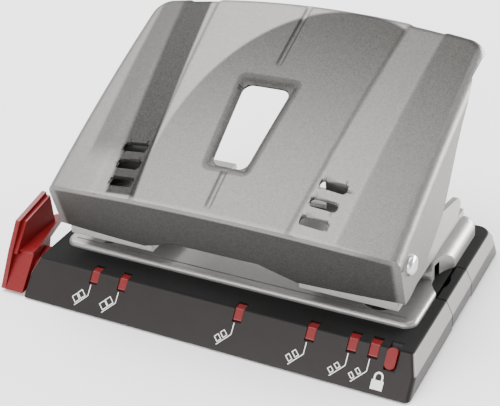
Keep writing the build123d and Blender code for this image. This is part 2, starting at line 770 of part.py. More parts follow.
# ================================================================ paper guide and its lock
with BuildPart() as paper_guide:
    # bar inside the base
    with BuildSketch(Plane.YZ.offset(-guide_outer)):
        with BuildLine():
            Polyline(
                (bar_front_low, bar_bottom),
                (bar_front_low + bar_slant, bar_top),
                (bar_back, bar_top),
                (bar_back, bar_bottom),
                close=True,
            )
        make_face()
    extrude(amount=guide_outer + guide_tip)
    # notch near the tip for the catch of the lock
    with BuildSketch(Plane.YZ.offset(lock_x - lock_width / 2 - 1.4)):
        with BuildLine():
            notch = (lock_catch + guide_clearance) / sin(slope_angle)
            Polyline(
                (bar_front_low - 1, bar_bottom - 0.1),
                (bar_front_low + notch, bar_bottom - 0.1),
                (bar_front_low + notch + bar_slant, bar_top + 0.1),
                (bar_front_low - 1, bar_top + 0.1),
                close=True,
            )
        make_face()
    extrude(amount=guide_tip, mode=Mode.SUBTRACT)
    # end block with the same slope as the base
    with BuildSketch(Plane.YZ.offset(-guide_outer)):
        with BuildLine():
            Polyline(
                (y_front + 0.6, foot_height + 0.5),
                (slope_top_y + 0.1, base_top),
                (slope_top_y + 2.6, base_top),
                (slope_top_y + 2.6, foot_height + 0.5),
                close=True,
            )
        make_face()
    extrude(amount=guide_outer - guide_block_inner)
    # ledge, narrowing to the rear
    with BuildSketch(Plane.XY.offset(base_top - 1.4)):
        with BuildLine():
            Polyline(
                (-guide_outer, slope_top_y),
                (-guide_block_inner, slope_top_y),
                (-guide_block_inner - 0.3, slope_top_y + 3),
                (-guide_block_inner - 4.4, y_front + 27.4),
                (-guide_outer + 1.0, y_front + 27.4),
                (-guide_outer, y_front + 24.0),
                close=True,
            )
        make_face()
    extrude(amount=1.9)
    # fin: the paper's edge stops against its inner face
    with BuildSketch(Plane.YZ.offset(-guide_outer)):
        with BuildLine():
            Polyline(
                (y_front + 0.6, foot_height + 0.5),
                *[(y_front + run, height) for run, height in fin_profile],
                (y_front + 21, foot_height + 0.5),
                close=True,
            )
        make_face()
    extrude(amount=guide_outer - guide_face - 1.2)
    with BuildSketch(Plane.YZ.offset(-guide_face - 1.2)):
        with BuildLine():
            Polyline(
                (y_front + fin_profile[0][0] + 0.2, base_top),
                (y_front + fin_profile[1][0] + 1.4, fin_profile[1][1] - 0.6),
                (y_front + fin_profile[2][0], fin_profile[2][1] - 1.0),
                (y_front + fin_profile[3][0], base_top),
                close=True,
            )
        make_face()
    extrude(amount=1.2)
keep(paper_guide.part, "paper_guide")

with BuildPart() as guide_detent_spring:
    detent_y = bar_back + 0.15
    with BuildSketch(Plane.XY.offset(floor_z + floor_sheet + 0.4)):
        with BuildLine():
            Polyline((18, detent_y + 0.1), (26, detent_y), (34, detent_y + 0.1))
            offset(amount=0.04)
        make_face()
    extrude(amount=3.0)
keep(guide_detent_spring.part, "guide_detent_spring")

with BuildPart() as guide_lock:
    # button on the slope
    with BuildSketch(slope_plane.offset(-lock_depth)):
        with Locations((0, -lock_length / 2)):
            RectangleRounded(lock_width, lock_length, 1.2)
    extrude(amount=lock_depth + lock_proud)
    # catch behind the wall
    with BuildSketch(slope_plane.offset(-lock_depth)):
        with Locations((0, -lock_length + lock_catch_length / 2 - lock_catch_drop)):
            Rectangle(lock_width + 1.4, lock_catch_length)
    extrude(amount=-lock_catch)
keep(guide_lock.part, "guide_lock")
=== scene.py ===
"""Desk hole punch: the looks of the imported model, laid out as an add-on and run as a script."""
import math

import bpy
from mathutils import Matrix, Vector


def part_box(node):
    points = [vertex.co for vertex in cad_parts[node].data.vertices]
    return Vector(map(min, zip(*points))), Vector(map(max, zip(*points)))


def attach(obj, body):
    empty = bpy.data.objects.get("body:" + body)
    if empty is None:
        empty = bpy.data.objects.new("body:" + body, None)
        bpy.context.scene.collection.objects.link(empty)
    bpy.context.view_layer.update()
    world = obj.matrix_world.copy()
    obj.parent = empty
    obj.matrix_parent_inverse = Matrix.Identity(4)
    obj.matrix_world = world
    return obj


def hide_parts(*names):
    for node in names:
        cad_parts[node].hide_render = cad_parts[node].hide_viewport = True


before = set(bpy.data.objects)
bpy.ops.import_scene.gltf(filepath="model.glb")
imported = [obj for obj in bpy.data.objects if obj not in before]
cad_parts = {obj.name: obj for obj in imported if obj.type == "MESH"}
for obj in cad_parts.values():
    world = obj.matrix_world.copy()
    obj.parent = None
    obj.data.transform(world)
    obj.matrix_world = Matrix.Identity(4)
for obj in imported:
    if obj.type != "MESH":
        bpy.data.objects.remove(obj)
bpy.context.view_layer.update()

bl_info = {
    "name": "Desk hole punch",
    "version": (1, 0, 0),
    "blender": (4, 5, 0),
    "location": "View3D > Sidebar > Hole punch",
    "description": "Builds the finished surfaces of a two-hole desk punch round its fixed frame",
    "category": "Object",
}

MM = 0.001
base_low, base_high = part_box("base_shell")
lock_low, lock_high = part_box("guide_lock")

# Lever, in millimetres. A crease is its distance from the middle and its lean with y.
CREASES = {"inner": (24.6, 0.1), "outer": (35.6, 0.06)}
CREASE_STEPS = (-0.8, -0.4, 0.0, 0.4, 0.8)
GROOVE_STEPS = (0.25, 0.55, 0.85, 1.15)
GROOVE_ENDS = (-24.4, -14.6, 17.0, 37.0)
GROOVE_END_STEP = 0.6
SLOT_GAPS = (-23.6, -18.7, -13.9, -9.0)     # y between and beside the slots
WINDOW = {"middle": -1.0, "half_width": 5.9, "lean": 0.085, "half_length": 12.1}
WINDOW_ZONE = (12, 19)                      # faces nearer than this take the window's lines
WINDOW_SHADE_OFFSET = 5.98                           # from the middle to the painted shade round the hand window, at y = 0
FLANGE_STEPS = (0.0, 0.6, 1.2, 1.8, 2.4)
WALL_X = 46.0                               # the top's rims start here
BEND_Y = -23.0                              # the bend is in front of this
BEND_LOW = 29.8                             # its lowest height, at the corners
BEND_MIDDLE = 33.9                          # its height in the middle
BEND_DROP = 0.00145                         # its fall per squared distance from the middle

# Base and its marks, in millimetres.
SLOPE_RUN = 8.1
SIDE_LEAN = 0.42
# side facets of the base, lightened by a painted reflection
FACET_LOW = 4.7
FACET_REACH = 57.6
FORMAT_WINDOWS = (-35.35, -26.55, 8.15, 28.15, 39.15, 44.65)
SHEETS = ((1.5, 2.1), (1.65, 2.1), (1.2, 1.7), (1.0, 1.75), (0.95, 1.35), (0.8, 1.5))
SHEET_SHRINK = 0.9                          # of a sheet's height on its sign
SHEET_STARTS = (0.4, 2.3)
SHEET_LIFT = 0.45
LINE = 0.22
PRINT = 0.03                                # thickness of the print
LEADER_SHIFT = 0.5                          # left of the window's middle
LEADER_FOOT = 6.9                           # down the slope
LEADER_UPRIGHT = 3.0
LEADER_SLANT = 4.7
SLANT_ANGLE = 225
STAND_FROM = 4.5
PADLOCK_SHIFT = 2.0
PADLOCK_DOWN = 9.4
PADLOCK_BODY = (3.0, 2.3)
SHACKLE_RADIUS = 0.95
SHACKLE_WIDTH = 0.45
SHACKLE_FOOT = 1.1
SHACKLE_LEG = 0.9

MERGE = 0.002 * MM
SMOOTH_ANGLE = math.radians(32)
LIGHTS = (                                  # name, place, aim, size, power
    ("top_light", (-0.3, 0.12, 0.85), (0, 0, 0.03), (1.1, 1.1), 24),
    ("side_light", (0.6, 0.68, 0.05), (0, 0, 0.01), (1.0, 0.5), 50),
    ("front_light", (-0.1, -0.9, 0.35), (0, 0, 0.02), (0.9, 0.4), 10),
)


# ------------------------------------------------------------------ sizes and colours
class LeverSizes(bpy.types.PropertyGroup):
    """Pressed details of the lever's sheet."""

    channel_depth: bpy.props.FloatProperty(
        name="Channel depth", description="Depth of the two long pressed channels",
        default=0.45 * MM, unit="LENGTH",
    )
    groove_depth: bpy.props.FloatProperty(
        name="Groove depth", description="Depth of the groove along the middle",
        default=0.55 * MM, unit="LENGTH",
    )
    flange_depth: bpy.props.FloatProperty(
        name="Flange depth", description="How far the sheet dips towards the hand window",
        default=0.95 * MM, unit="LENGTH",
    )
    bend_round: bpy.props.FloatProperty(
        name="Bend rounding", description="Width of the rounding along the front bend",
        default=1.3 * MM, unit="LENGTH",
    )


class FinishColours(bpy.types.PropertyGroup):
    """Colours of the painted and moulded pieces."""

    # the lever's paint, with its painted reflections, highlights and shade, is mixed between these two
    # tones
    silver_light: bpy.props.FloatVectorProperty(
        name="Light silver", description="Bright tone of the lever's paint",
        subtype="COLOR", default=(0.24, 0.231, 0.222),
    )
    silver_dark: bpy.props.FloatVectorProperty(
        name="Dark silver", description="Deep tone of the lever's paint",
        subtype="COLOR", default=(0.016, 0.0148, 0.0138),
    )
    table_silver: bpy.props.FloatVectorProperty(
        name="Table silver", description="Paint of the paper table and its brackets",
        subtype="COLOR", default=(0.34, 0.332, 0.322),
    )
    base_black: bpy.props.FloatVectorProperty(
        name="Base black", description="Moulded base",
        subtype="COLOR", default=(0.012, 0.0095, 0.0088),
    )
    guide_red: bpy.props.FloatVectorProperty(
        name="Guide red", description="Paper guide and lock",
        subtype="COLOR", default=(0.13, 0.003, 0.004),
    )


class StageSizes(bpy.types.PropertyGroup):
    """Camera, floor and lights."""

    azimuth: bpy.props.FloatProperty(
        name="Azimuth", description="Camera's turn to the right of straight ahead",
        subtype="ANGLE", default=math.radians(30.716),
    )
    elevation: bpy.props.FloatProperty(
        name="Elevation", description="Camera's height above the horizon",
        subtype="ANGLE", default=math.radians(31.387),
    )
    roll: bpy.props.FloatProperty(
        name="Roll", description="Camera's tilt", subtype="ANGLE", default=math.radians(-5.171),
    )
    lens: bpy.props.FloatProperty(
        name="Lens", description="Focal length", subtype="DISTANCE_CAMERA", default=83.26,
    )
    place: bpy.props.FloatVectorProperty(
        name="Camera place", description="Where the camera stands",
        subtype="TRANSLATION", default=(0.13118, -0.22456, 0.18135),
    )
    floor_size: bpy.props.FloatProperty(
        name="Floor size", description="Side of the square floor", default=6.0, unit="LENGTH",
    )


# ------------------------------------------------------------------ shader helpers
class Value:
    """A number socket that takes part in Python arithmetic."""

    def __init__(self, finish, socket):
        self.finish = finish
        self.socket = socket

    def _with(self, operation, *others):
        return self.finish.maths(operation, self, *others)

    def __add__(self, other):
        return self._with("ADD", other)

    def __radd__(self, other):
        return self._with("ADD", other)

    def __sub__(self, other):
        return self._with("SUBTRACT", other)

    def __rsub__(self, other):
        return self.finish.maths("SUBTRACT", other, self)

    def __mul__(self, other):
        return self._with("MULTIPLY", other)

    def __rmul__(self, other):
        return self._with("MULTIPLY", other)

    def __truediv__(self, other):
        return self._with("DIVIDE", other)

    def above(self, edge, soft):
        """0 below the edge and 1 above it, with a soft step of that width."""
        return self.finish.step(self, edge, soft)

    def higher(self, other):
        return self._with("MAXIMUM", other)

    def size(self):
        return self._with("ABSOLUTE")


class Finish:
    """A node material made by code."""

    def __init__(self, name, roughness=0.5, metallic=0.0, specular=0.5):
        self.material = bpy.data.materials.new(name)
        self.material.use_nodes = True
        self.tree = self.material.node_tree
        self.shader = next(n for n in self.tree.nodes if n.type == "BSDF_PRINCIPLED")
        self.shader.inputs["Roughness"].default_value = roughness
        self.shader.inputs["Metallic"].default_value = metallic
        self.shader.inputs["Specular IOR Level"].default_value = specular
        self.place = self.node("ShaderNodeTexCoord", {}, {}).outputs["Object"]

    def node(self, kind, settings, inputs):
        """One node: its settings first, then the values or links of its sockets."""
        made = self.tree.nodes.new(kind)
        for key, setting in settings.items():
            setattr(made, key, setting)
        for key, given in inputs.items():
            if isinstance(given, Value):
                given = given.socket
            if isinstance(given, bpy.types.NodeSocket):
                self.tree.links.new(given, made.inputs[key])
            else:
                made.inputs[key].default_value = given
        return made

    def maths(self, operation, *numbers):
        """One step of arithmetic on numbers or number sockets."""
        made = self.node("ShaderNodeMath", {"operation": operation}, dict(enumerate(numbers)))
        return Value(self, made.outputs[0])

    def step(self, number, edge, soft):
        """0 below the edge and 1 above it."""
        sockets = {"Value": number, "From Min": edge - soft / 2, "From Max": edge + soft / 2}
        made = self.node("ShaderNodeMapRange", {"interpolation_type": "SMOOTHSTEP"}, sockets)
        return Value(self, made.outputs["Result"])

    def axes(self):
        """Object coordinates in millimetres."""
        parts = self.node("ShaderNodeSeparateXYZ", {}, {0: self.place}).outputs
        return [Value(self, parts[axis]) * (1 / MM) for axis in "XYZ"]

    def noise(self, scale, detail, stretch=(1, 1, 1)):
        """Fractal noise from 0 to 1, its grain so many to the metre."""
        mapping = self.node("ShaderNodeMapping", {}, {"Vector": self.place, "Scale": stretch})
        sockets = {"Vector": mapping.outputs[0], "Scale": scale, "Detail": detail}
        return Value(self, self.node("ShaderNodeTexNoise", {}, sockets).outputs["Fac"])

    def specks(self, scale):
        """A random value from 0 to 1 in each tiny cell."""
        cells = self.node("ShaderNodeTexVoronoi", {}, {"Vector": self.place, "Scale": scale})
        parts = self.node("ShaderNodeSeparateColor", {}, {0: cells.outputs["Color"]})
        return Value(self, parts.outputs[0])

    def mix(self, share, first, second):
        """Colour between two colours or colour sockets."""
        sockets = {0: share, 6: self.solid(first), 7: self.solid(second)}
        return self.node("ShaderNodeMix", {"data_type": "RGBA"}, sockets).outputs[2]

    @staticmethod
    def solid(colour):
        """The colour with full alpha; a socket stays as it is."""
        if isinstance(colour, bpy.types.NodeSocket):
            return colour
        return (*colour[:3], 1.0)

    def paint(self, colour):
        socket = self.shader.inputs["Base Color"]
        if isinstance(colour, bpy.types.NodeSocket):
            self.tree.links.new(colour, socket)
        else:
            socket.default_value = self.solid(colour)

    def rough(self, number):
        self.tree.links.new(number.socket, self.shader.inputs["Roughness"])

    def bump(self, height, depth, strength=1.0):
        """Bump of that depth in metres."""
        sockets = {"Height": height, "Distance": depth, "Strength": strength}
        made = self.node("ShaderNodeBump", {}, sockets)
        self.tree.links.new(made.outputs[0], self.shader.inputs["Normal"])


# ------------------------------------------------------------------ finishes
def lever_paint():
    """Silver in two tones, mixed into painted reflections and shade: a pattern of bands and sweeps laid
    out in object coordinates.
    """
    colours = bpy.context.scene.punch_colours
    paint = Finish("lever_paint", roughness=0.42, metallic=0.6, specular=0.12)
    x, y, z = paint.axes()
    across = x.size()
    right = x.above(0, 1)
    left = 1 - right
    far = y.above(4, 76)
    # tones of the middle, painted reflection and shade: a light sweep outside the arch, a darker field
    # inside it that darkens to the rear
    arch_x = (x - 16) / 38
    arch_y = (y + 10) / 47
    arch = (arch_x * arch_x + arch_y * arch_y).above(1.03, 0.06)
    middle = arch * (0.8 - far * 0.04) + (1 - arch) * (0.6 - far * 0.54)
    # left, painted reflection and shade: a dark band, a middle tone beside it and a light wedge at the
    # wall
    in_band = (across - (y * 0.16 + 24.75)).above(0, 0.9)
    past_band = (across - (y * 0.16 + 33.9)).above(0, 1.6)
    wedge_reflection = (across - (y * 0.1 + 42.6)).above(0, 1.5).higher(1 - y.above(-14, 8))
    outer_left = wedge_reflection * 0.66 + (1 - wedge_reflection) * (0.34 - far * 0.1)
    tone_left = middle * (1 - in_band) + in_band * (1 - past_band) * 0.045 + past_band * outer_left
    # right, painted reflection and shade: a light channel and a field that darkens to the rear
    in_channel, past_channel = [
        (across - (y * lean + middle_x)).above(0, 1.2) for middle_x, lean in CREASES.values()
    ]
    channel_reflection = in_channel * (1 - past_channel) * (0.74 - far * 0.46)
    tone_right = middle * (1 - in_channel) + channel_reflection + past_channel * (0.5 - far * 0.4)
    # side walls in one set tone, painted shade on the skirt and a painted highlight along the bend
    side = (across - 47.6).above(0, 1.6)
    over_bend = z - (BEND_MIDDLE - x * x * BEND_DROP)
    skirt = (1 - over_bend.above(-0.9, 0.7)) * (1 - y.above(-20, 1)) * (1 - side)
    bend = over_bend.above(-0.9, 0.7) * (1 - over_bend.above(0.7, 0.8)) * (1 - y.above(-24.4, 0.6))
    # painted shade on the sheet's roll round the hand window
    out_x = (across - (y * WINDOW["lean"] + WINDOW_SHADE_OFFSET)) / FLANGE_STEPS[-1]
    out_y = ((y - WINDOW["middle"]).size() - WINDOW["half_length"]) / FLANGE_STEPS[-1]
    out_x = out_x.higher(0)
    out_y = out_y.higher(0)
    roll = 1 - (out_x * out_x + out_y * out_y).above(0.85, 0.5)
    tone = (tone_left * left + tone_right * right) * (1 - side) + side * 0.62
    # painted shade round the hand window and on the skirt, and a painted highlight along the bend
    tone = tone * (1 - roll * 0.5) * (1 - skirt) * (1 - bend) + skirt * 0.12 + bend * 0.85
    grain = (paint.specks(5200) - 0.5) * 0.26 + (paint.noise(900, 3) - 0.5) * 0.14
    tone = tone + grain * (tone * 0.7 + 0.3)
    paint.paint(paint.mix(tone, colours.silver_dark, colours.silver_light))
    paint.rough(paint.noise(2600, 2) * 0.14 + 0.35)
    paint.bump(paint.specks(5200), 0.012 * MM, 0.5)
    return paint.material


def silver_paint(name, shade=1.0):
    """Fine-grained silver of the table and the brackets."""
    colours = bpy.context.scene.punch_colours
    paint = Finish(name, roughness=0.36, metallic=0.6)
    grain = (paint.specks(4800) - 0.5) * 0.3 + paint.noise(700, 3) * 0.5
    light = [c * shade for c in colours.table_silver]
    dark = [c * 0.72 for c in light]
    paint.paint(paint.mix(grain, dark, light))
    paint.rough(paint.noise(2200, 2) * 0.12 + 0.3)
    paint.bump(paint.specks(4800), 0.01 * MM, 0.4)
    return paint.material


def moulded_plastic(name, colour, roughness, grain_depth):
    """Plastic with a slightly uneven colour and a moulded grain."""
    plastic = Finish(name, roughness=roughness)
    tone = plastic.noise(160, 4) * 0.5 + plastic.noise(2400, 2) * 0.5
    plastic.paint(plastic.mix(tone, [c * 0.86 for c in colour], [c * 1.16 for c in colour]))
    plastic.rough(plastic.noise(900, 3) * 0.12 + (roughness - 0.06))
    plastic.bump(plastic.noise(5200, 3), grain_depth)
    return plastic.material


def base_plastic(colour):
    """Satin walls with side facets lightened by a painted reflection, under a matt, deeper black top face.
    """
    plastic = Finish("base_plastic", roughness=0.4, specular=0.3)
    x, _, height = plastic.axes()
    on_top_face = height.above(base_high.z / MM - 0.35, 0.3)
    # painted reflection: a lighter colour on the base's side facets
    facet_reflection = (x.size() + height * SIDE_LEAN).above(FACET_REACH, 0.2)
    facet_reflection = facet_reflection * height.above(FACET_LOW, 0.2) * (1 - on_top_face)
    wall = plastic.noise(160, 4)
    wall_colour = plastic.mix(wall, [c * 0.86 for c in colour], [c * 1.16 for c in colour])
    body_colour = plastic.mix(on_top_face, wall_colour, [c * 0.08 for c in colour])
    # colour of the painted reflection on the side facets
    plastic.paint(plastic.mix(facet_reflection, body_colour, [0.16, 0.152, 0.145]))
    plastic.rough(plastic.noise(900, 3) * 0.1 + 0.3 + on_top_face * 0.5)
    plastic.bump(plastic.noise(5200, 3), 0.012 * MM)
    return plastic.material


def steel(name, shade, roughness, stretch=(1, 1, 1)):
    """Bare metal with fine streaks, drawn out where the stretch is small."""
    metal = Finish(name, metallic=1.0)
    lines = metal.noise(1500, 3, stretch=stretch)
    metal.paint(metal.mix(lines, [shade * 0.8] * 3, [shade * 1.1] * 3))
    metal.rough(lines * 0.2 + (roughness - 0.1))
    metal.bump(lines, 0.01 * MM)
    return metal.material


def printed_white():
    ink = Finish("printed_white", roughness=0.55)
    ink.paint(ink.mix(ink.noise(3000, 2), (0.62, 0.61, 0.6), (0.85, 0.84, 0.83)))
    return ink.material


# ------------------------------------------------------------------ mesh helpers
def alone(*pieces):
    """Selects only these objects, the last one active."""
    if bpy.context.object and bpy.context.object.mode != "OBJECT":
        bpy.ops.object.mode_set(mode="OBJECT")
    bpy.ops.object.select_all(action="DESELECT")
    for piece in pieces:
        piece.select_set(True)
    bpy.context.view_layer.objects.active = pieces[-1]


def copy_of(node, name):
    """A merged copy of a CAD node, shown in its place."""
    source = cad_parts[node]
    piece = bpy.data.objects.new(name, source.data.copy())
    bpy.context.scene.collection.objects.link(piece)
    alone(piece)
    bpy.ops.object.mode_set(mode="EDIT")
    bpy.ops.mesh.select_all(action="SELECT")
    bpy.ops.mesh.remove_doubles(threshold=MERGE)
    bpy.ops.object.mode_set(mode="OBJECT")
    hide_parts(node)
    return piece


def pick(piece, wanted, kind="FACE"):
    """In edit mode, selects the faces or edges that the test picks, and counts them."""
    alone(piece)
    items = piece.data.polygons if kind == "FACE" else piece.data.edges
    bpy.ops.object.mode_set(mode="EDIT")
    bpy.ops.mesh.select_mode(type=kind)
    bpy.ops.mesh.select_all(action="DESELECT")
    bpy.ops.object.mode_set(mode="OBJECT")
    count = 0
    for item in items:
        item.select = wanted(item)
        count += item.select
    bpy.ops.object.mode_set(mode="EDIT")
    return count


def cut_along(piece, wanted, lines):
    """Cuts the wanted faces with upright planes, each given by a point and the way it faces."""
    for point, facing in lines:
        if pick(piece, wanted):
            bpy.ops.mesh.bisect(plane_co=point, plane_no=facing)
        bpy.ops.object.mode_set(mode="OBJECT")


def dress(piece, material, body):
    """Material, smooth shading and body of a finished piece."""
    piece.data.materials.clear()
    piece.data.materials.append(material)
    alone(piece)
    bpy.ops.object.shade_smooth_by_angle(angle=SMOOTH_ANGLE)
    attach(piece, body)


def joined(pieces, name):
    """One object made of several."""
    alone(*pieces)
    bpy.ops.object.join()
    made = bpy.context.object
    made.name = name
    return made


def bar_on(place, length, width, height):
    """A flat bar whose length runs from the place's origin along its X."""
    bpy.ops.object.select_all(action="DESELECT")
    bpy.ops.mesh.primitive_cube_add(size=1)
    bar = bpy.context.object
    middle = Matrix.Translation((length / 2, 0, height / 2))
    bar.data.transform(place @ middle @ Matrix.Diagonal((length, width, height, 1)))
    return bar


def half_ring_on(place, radius, width, height):
    """A flat half ring round the place's origin, on the side of its +Y."""
    bpy.ops.object.select_all(action="DESELECT")
    bpy.ops.mesh.primitive_plane_add(size=1)
    ring = bpy.context.object
    section = Matrix.Translation((radius, 0, height / 2)) @ Matrix.Rotation(math.pi / 2, 4, "X")
    ring.data.transform(section @ Matrix.Diagonal((width, height, 1, 1)))
    alone(ring)
    bpy.ops.object.mode_set(mode="EDIT")
    bpy.ops.mesh.select_all(action="SELECT")
    bpy.ops.mesh.spin(
        steps=24, angle=-math.pi, center=(0, 0, 0), axis=(0, 0, 1), dupli=False
    )
    bpy.ops.mesh.select_all(action="SELECT")
    bpy.ops.mesh.remove_doubles(threshold=0.001 * MM)
    bpy.ops.mesh.normals_make_consistent(inside=False)
    bpy.ops.object.mode_set(mode="OBJECT")
    ring.data.transform(place)
    return ring


# ------------------------------------------------------------------ lever
def pressed_lines():
    """Planes along the pressed details, as points and facings."""
    lines = []
    for side in (-1, 1):
        for middle, lean in CREASES.values():
            for step in CREASE_STEPS:
                across = Vector((side * (middle + step) * MM, 0, 0))
                lines.append((across, Vector((side, -lean, 0))))
    for y in SLOT_GAPS:
        lines.append((Vector((0, y * MM, 0)), Vector((0, 1, 0))))
    for side in (-1, 1):
        for step in GROOVE_STEPS:
            lines.append((Vector((side * step * MM, 0, 0)), Vector((side, 0, 0))))
    for end in GROOVE_ENDS:
        for step in (-GROOVE_END_STEP, 0.0, GROOVE_END_STEP):
            lines.append((Vector((0, (end + step) * MM, 0)), Vector((0, 1, 0))))
    return lines


def flange_lines():
    """Planes round the hand window."""
    lines = []
    for side in (-1, 1):
        for step in FLANGE_STEPS:
            across = Vector((side * (WINDOW["half_width"] + step), WINDOW["middle"], 0)) * MM
            lines.append((across, Vector((side, -WINDOW["lean"], 0))))
            along = Vector((0, WINDOW["middle"] + side * (WINDOW["half_length"] + step), 0)) * MM
            lines.append((along, Vector((0, 1, 0))))
    return lines


def soft_step(number, low, high):
    """0 below the low edge, 1 above the high one, and smooth between them."""
    t = min(1.0, max(0.0, (number - low) / (high - low)))
    return t * t * (3 - 2 * t)


def pressed_depth(x, y, sizes):
    """How far the sheet is pressed in at a point of its top, in metres."""
    x_mm, y_mm = x / MM, y / MM
    across = abs(x_mm)
    reach = CREASE_STEPS[-1]
    beyond = []
    for middle, lean in CREASES.values():
        crease = middle + lean * y_mm
        beyond.append(soft_step(across, crease - reach, crease + reach))
    depth = beyond[0] * (1 - beyond[1]) * sizes.channel_depth
    groove = 1 - soft_step(across, GROOVE_STEPS[0], GROOVE_STEPS[-1])
    inside = [soft_step(y_mm, end - GROOVE_END_STEP, end + GROOVE_END_STEP) for end in GROOVE_ENDS]
    groove *= inside[0] * (1 - inside[1]) + inside[2] * (1 - inside[3])
    depth += groove * sizes.groove_depth
    from_middle = y_mm - WINDOW["middle"]
    out_x = across - WINDOW["half_width"] - WINDOW["lean"] * from_middle
    out_y = abs(from_middle) - WINDOW["half_length"]
    outside = math.hypot(max(out_x, 0), max(out_y, 0)) / FLANGE_STEPS[-1]
    depth += (1 - outside) ** 2 * sizes.flange_depth if outside < 1 else 0
    return depth


def on_top(face):
    """True for the faces of the lever's outer top, away from its rims."""
    return face.normal.z > 0.6 and abs(face.center.x) < WALL_X * MM


def near_window(face):
    """True for the faces of the top that reach the hand window's rolled edge."""
    reach_x, reach_y = [reach * MM for reach in WINDOW_ZONE]
    return on_top(face) and abs(face.center.x) < reach_x and abs(face.center.y) < reach_y


def round_bend(lever, radius):
    """Rounds the sharp outer bend between the top and the skirt."""
    vertices = lever.data.vertices

    def at_bend(edge):
        ends = [vertices[i].co for i in edge.vertices]
        middle = (ends[0] + ends[1]) / 2
        along = abs(ends[0].x - ends[1].x) > 4 * abs(ends[0].z - ends[1].z)
        in_front = middle.y < BEND_Y * MM and middle.z > BEND_LOW * MM
        return along and in_front and edge.index in outer_bend

    sides = {}
    for face in lever.data.polygons:
        for key in face.edge_keys:
            sides.setdefault(key, []).append(face.normal)
    outer_bend = set()
    for edge in lever.data.edges:
        normals = sides[edge.key]
        if len(normals) == 2 and normals[0].dot(normals[1]) < 0.7 and max(n.z for n in normals) > 0.6:
            outer_bend.add(edge.index)
    if not pick(lever, at_bend, "EDGE"):
        raise RuntimeError("the lever's front bend has no edges to round")
    bpy.ops.mesh.bevel(offset=radius, segments=4, affect="EDGES", clamp_overlap=True)
    bpy.ops.object.mode_set(mode="OBJECT")


class PUNCH_OT_lever(bpy.types.Operator):
    """Lever with its pressed channels, groove and window flange"""

    bl_idname = "punch.lever"
    bl_label = "Lever"

    def execute(self, context):
        sizes = context.scene.punch_lever
        lever = copy_of("handle", "lever")
        round_bend(lever, sizes.bend_round)
        cut_along(lever, on_top, pressed_lines())
        cut_along(lever, near_window, flange_lines())
        top = [face for face in lever.data.polygons if on_top(face)]
        for index in {corner for face in top for corner in face.vertices}:
            x, y, z = lever.data.vertices[index].co
            lever.data.vertices[index].co.z = z - pressed_depth(x, y, sizes)
        dress(lever, lever_paint(), "lever")
        weigh = lever.modifiers.new("weigh", "WEIGHTED_NORMAL")
        weigh.keep_sharp = True
        weigh.weight = 80
        bpy.ops.object.modifier_apply(modifier="weigh")
        return {"FINISHED"}


# ------------------------------------------------------------------ print on the slope
def slope_place(x, down, turn=0.0):
    """Frame on the slope: X along the punch, Y up the slope, turned in the slope's own plane."""
    run = SLOPE_RUN * MM
    rise = base_high.z - base_low.z
    top = Vector((x, base_low.y + run, base_high.z))
    angle = math.atan2(rise, run)
    spot = top - Vector((0, math.cos(angle), math.sin(angle))) * down
    return Matrix.Translation(spot) @ Matrix.Rotation(angle, 4, "X") @ Matrix.Rotation(turn, 4, "Z")


def page_sign(place, width, height, line, thick):
    """Outline of a sheet of paper standing on the place's X axis."""
    corners = ((0, 0), (width, 0), (width, height), (0, height))
    strokes = []
    for i, corner in enumerate(corners):
        start = place @ Matrix.Translation((*corner, 0)) @ Matrix.Rotation(i * math.pi / 2, 4, "Z")
        length = height if i % 2 else width
        strokes.append(bar_on(start, length + line / 2, line, thick))
    return strokes


class PUNCH_OT_marks(bpy.types.Operator):
    """Printed leader lines, sheet signs and padlock sign on the slope"""

    bl_idname = "punch.marks"
    bl_label = "Marks on the slope"

    def execute(self, context):
        line = LINE * MM
        thick = PRINT * MM
        strokes = []
        for window, (width, height) in zip(FORMAT_WINDOWS, SHEETS):
            x = (window - LEADER_SHIFT) * MM
            foot = LEADER_FOOT * MM
            upright = slope_place(x, foot, math.pi / 2)
            strokes.append(bar_on(upright, LEADER_UPRIGHT * MM, line, thick))
            low = slope_place(x, foot, math.radians(SLANT_ANGLE))
            strokes.append(bar_on(low, LEADER_SLANT * MM, line, thick))
            stand = low @ Matrix.Translation((STAND_FROM * MM, 0, 0)) @ Matrix.Rotation(math.pi, 4, "Z")
            for start in SHEET_STARTS:
                spot = stand @ Matrix.Translation((start * MM, SHEET_LIFT * MM, 0))
                strokes += page_sign(spot, width * MM, height * SHEET_SHRINK * MM, line, thick)
        lock_x = (lock_low.x + lock_high.x) / 2
        centre = slope_place(lock_x - PADLOCK_SHIFT * MM, PADLOCK_DOWN * MM)
        width, height = [size * MM for size in PADLOCK_BODY]
        strokes.append(bar_on(centre @ Matrix.Translation((-width / 2, 0, 0)), width, height, thick))
        radius = SHACKLE_RADIUS * MM
        band = SHACKLE_WIDTH * MM
        for side in (-1, 1):
            leg = centre @ Matrix.Translation((side * radius, SHACKLE_FOOT * MM, 0))
            leg = leg @ Matrix.Rotation(math.pi / 2, 4, "Z")
            strokes.append(bar_on(leg, SHACKLE_LEG * MM, band, thick))
        arch = centre @ Matrix.Translation((0, (SHACKLE_FOOT + SHACKLE_LEG) * MM, 0))
        strokes.append(half_ring_on(arch, radius, band, thick))
        marks = joined(strokes, "slope_marks")
        dress(marks, printed_white(), "base")
        return {"FINISHED"}


# ------------------------------------------------------------------ carried-over pieces
def give(node, material):
    """New material for a CAD node that keeps its shape."""
    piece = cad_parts[node]
    piece.data.materials.clear()
    piece.data.materials.append(material)


class PUNCH_OT_base(bpy.types.Operator):
    """Base, hatch, floor plate, feet and paper table"""

    bl_idname = "punch.base"
    bl_label = "Base and table"

    def execute(self, context):
        colours = context.scene.punch_colours
        plastic = base_plastic(colours.base_black)
        for node in ("base_shell", "chip_hatch", "base_floor"):
            give(node, plastic)
        give("rubber_feet", moulded_plastic("foot_rubber", (0.03, 0.03, 0.03), 0.8, 0.03 * MM))
        give("paper_table", silver_paint("table_paint"))
        return {"FINISHED"}


